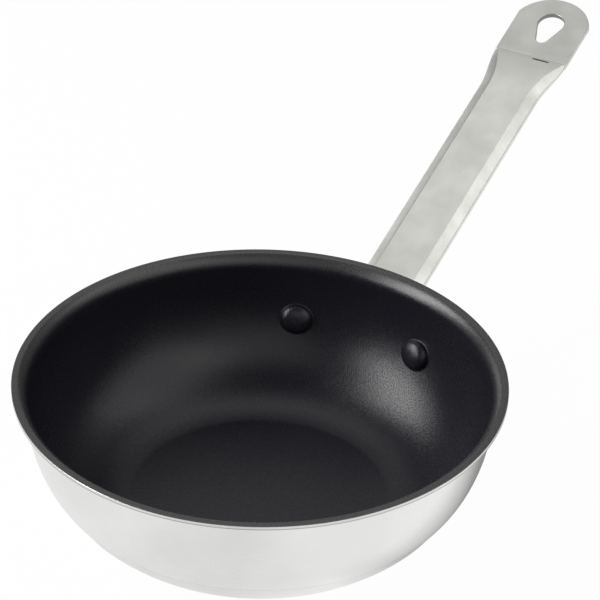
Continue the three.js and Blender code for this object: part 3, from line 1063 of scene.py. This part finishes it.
pressed_eye_and_hole_shade(handle_steel)
handle_source = linked("tube", tube_mesh())
handle_source.data.materials.append(handle_steel)
eye = eye_plate()
vent = vent_cutter()
worked(handle_source, eye, "UNION")
worked(handle_source, vent, "DIFFERENCE")
handle_mesh = made_plain(handle_source, "handle", sharp=24)
quite_level = 0.99999  # the eye's flats stay plain, without a smooth gradient
for face in handle_mesh.polygons:
    face.use_smooth = abs(face.normal.z) < quite_level
handle_mesh.transform(handle_place)
for tool in (eye, vent):
    bpy.data.objects.remove(tool)
handle = linked("handle", handle_mesh)
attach(handle, "root")
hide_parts("handle_tube")

# Floor and light
# A plain white table in a dim grey room, with a strong soft box at the left, a wide one at the right
# and weaker ones above, in front, behind and next to the handle.
look_azimuth = math.radians(27.6)  # the way the camera looks, seen from above
away = Vector((math.cos(look_azimuth), math.sin(look_azimuth), 0))
right = Vector((away.y, -away.x, 0))
pan_middle = Vector((0.02, 0, 0.04))  # what the soft boxes are aimed at
table_colour = (0.9, 0.9, 0.9, 1)
table_size = 12
table_gap = 0.2 * mm  # keeps the table's face clear of the base
camera_white = 0.97  # share of plain white that the camera sees, next to the table's shadows
glow_reach = 0.15  # the steel sees the table's brightness change this far to each side
table_glow = ((0.2, 0.93), (0.47, 0.835), (0.62, 1.0))  # place from left to right, brightness
shade_way = away * 0.875 - right * 0.485  # from the light table into a painted shadow at the pan's right
shade_start = -100 * mm  # along that way
shade_end = -45 * mm
shade_depth = 0.75
shade_right = (35 * mm, 60 * mm)  # from the pan's middle to the right, where the shade sets in
shade_near = (140 * mm, 190 * mm)  # from the pan's middle, where it ends
room_radius = 3
room_glow = 0.06
sky_glow = 0.25


# Whether a ray looks at the background, from the camera or by way of metal
def looking_rays(tree):
    light = tree.nodes.new("ShaderNodeLightPath").outputs
    by_metal = maths(tree, "MAXIMUM", light["Is Glossy Ray"], light["Is Transmission Ray"])
    return light["Is Camera Ray"], by_metal


# White to the camera apart from the pan's shadow; to the steel a painted glow graded across the pan, with a
# painted shadow at its right; clear from below
def floor_material():
    material, tree, shader = new_material("white_table")
    shader.inputs["Base Color"].default_value = table_colour
    shader.inputs["Roughness"].default_value = 0.9
    white = place(tree, "ShaderNodeEmission", {}, {"Color": (1, 1, 1, 1), "Strength": 1.0})
    from_camera, from_metal = looking_rays(tree)
    spot = tree.nodes.new("ShaderNodeTexCoord").outputs["Object"]
    to_right = measured(tree, "DOT_PRODUCT", spot, tuple(right))
    into_shade = measured(tree, "DOT_PRODUCT", spot, tuple(shade_way))
    shade = ranged(tree, into_shade, shade_start, shade_end, at_high=shade_depth)
    on_right = ranged(tree, to_right, *shade_right)
    near_pan = ranged(tree, measured(tree, "LENGTH", spot), *shade_near, at_low=1.0, at_high=0.0)
    on_patch = maths(tree, "MULTIPLY", on_right, near_pan)
    unshaded = maths(tree, "SUBTRACT", 1.0, maths(tree, "MULTIPLY", shade, on_patch))
    across_pan = ranged(tree, to_right, -glow_reach, glow_reach)
    graded = place(tree, "ShaderNodeValToRGB", {}, {"Fac": across_pan})
    stops = graded.color_ramp.elements
    for place_on, bright in table_glow:
        stops.new(place_on).color = (bright, bright, bright, 1)
    stops.remove(stops[0])
    stops.remove(stops[-1])
    seen_by_metal = maths(tree, "MULTIPLY", graded.outputs[0], unshaded)
    tree.links.new(maths(tree, "MAXIMUM", from_camera, seen_by_metal), white.inputs["Strength"])
    share = maths(tree, "ADD", from_metal, maths(tree, "MULTIPLY", from_camera, camera_white))
    mixed = place(
        tree, "ShaderNodeMixShader", {},
        {0: share, 1: shader.outputs[0], 2: white.outputs[0]},
    )
    clear = tree.nodes.new("ShaderNodeBsdfTransparent").outputs[0]
    from_below = tree.nodes.new("ShaderNodeNewGeometry").outputs["Backfacing"]
    one_sided = place(tree, "ShaderNodeMixShader", {}, {0: from_below, 1: mixed.outputs[0], 2: clear})
    tree.links.new(one_sided.outputs[0], tree.nodes["Material Output"].inputs["Surface"])
    return material


def floor_mesh():
    corners = [(x * table_size / 2, y * table_size / 2, -table_gap)
               for x, y in ((-1, -1), (1, -1), (1, 1), (-1, 1))]
    mesh = bpy.data.meshes.new("floor")
    mesh.from_pydata(corners, [], [(0, 1, 2, 3)])
    return mesh


# Half a ball round the table, as the room's grey walls
def room_mesh():
    room = bmesh.new()
    bmesh.ops.create_uvsphere(room, u_segments=32, v_segments=16, radius=room_radius)
    under_table = [v for v in room.verts if v.co.z < -table_gap]
    bmesh.ops.delete(room, geom=under_table, context="VERTS")
    return mesh_of("studio_walls", room)


def room_material():
    material, tree, shader = new_material("studio_walls")
    tree.nodes.remove(shader)
    grey = place(tree, "ShaderNodeEmission", {}, {"Color": (1, 1, 1, 1), "Strength": room_glow})
    tree.links.new(grey.outputs[0], tree.nodes["Material Output"].inputs["Surface"])
    return material


floor = linked("floor", floor_mesh())
floor.data.materials.append(floor_material())
walls = linked("studio_walls", room_mesh())
walls.data.materials.append(room_material())
walls.visible_camera = False


# A soft box at a place seen from the camera's side, in metres from the pan's middle, aimed at it
def soft_box(name, side, forward, up, width, height, power, lean=0):
    light = bpy.data.lights.new(name, "AREA")
    light.shape = "RECTANGLE"
    light.size = width
    light.size_y = height
    light.energy = power
    lamp = linked(name, light)
    lamp.location = pan_middle + right * side + away * forward + Vector((0, 0, up))
    lamp.rotation_mode = "QUATERNION"
    aim = (pan_middle - lamp.location).to_track_quat("-Z", "Y")
    lamp.rotation_quaternion = aim @ Quaternion((0, 0, 1), math.radians(lean))


soft_box("left_box", side=-1.25, forward=-0.1, up=0.72, width=1.4, height=0.7, power=20.5, lean=-43)
soft_box("right_box", side=1.14, forward=-0.38, up=1.18, width=2.2, height=1.6, power=10.7, lean=22)
soft_box("far_box", side=1.3, forward=1.0, up=0.85, width=1.0, height=1.2, power=0.6)
soft_box("handle_box", side=0.3, forward=0.18, up=0.42, width=0.2, height=0.16, power=0.05)
soft_box("top_box", side=0.0, forward=0.87, up=1.8, width=1.6, height=1.1, power=4.9)
soft_box("back_box", side=-0.16, forward=1.57, up=1.23, width=1.0, height=0.8, power=1.1)
soft_box("low_box", side=-0.87, forward=1.4, up=0.41, width=0.7, height=0.5, power=1.2)
soft_box("lip_box", side=0.15, forward=1.85, up=0.4, width=0.9, height=0.45, power=0.8)
soft_box("front_box", side=0.2, forward=-1.8, up=1.26, width=2.4, height=1.8, power=7.5)

# The sky outside the room is white to the camera and to metal
world = bpy.data.worlds.new("studio")
world.use_nodes = True
bpy.context.scene.world = world
sky = world.node_tree
surround = sky.nodes["Background"]
surround.inputs["Color"].default_value = (1, 1, 1, 1)
seen = maths(sky, "MULTIPLY", maths(sky, "ADD", *looking_rays(sky)), 1 - sky_glow)
sky.links.new(maths(sky, "ADD", seen, sky_glow), surround.inputs["Strength"])

# Camera
# The photograph's long lens, looking down into the pan over its near rim, with the handle pointing
# away to the right.
look_elevation = math.radians(32.209)
look_roll = math.radians(1.262)
look_distance = 1.25834
look_target = Vector((0.05999, 0.01417, lip_level))

camera_data = bpy.data.cameras.new("camera")
camera_data.sensor_width = 36
camera_data.lens = 180
camera = linked("camera", camera_data)
back = Vector((0, 0, math.sin(look_elevation))) - away * math.cos(look_elevation)
camera.location = look_target + back * look_distance
camera.rotation_mode = "QUATERNION"
camera.rotation_quaternion = (Matrix.Rotation(look_roll, 3, back) @ Matrix(
    (right, back.cross(right), back)
).transposed()).to_quaternion()
bpy.context.scene.camera = camera
bpy.context.scene.view_settings.view_transform = "Standard"
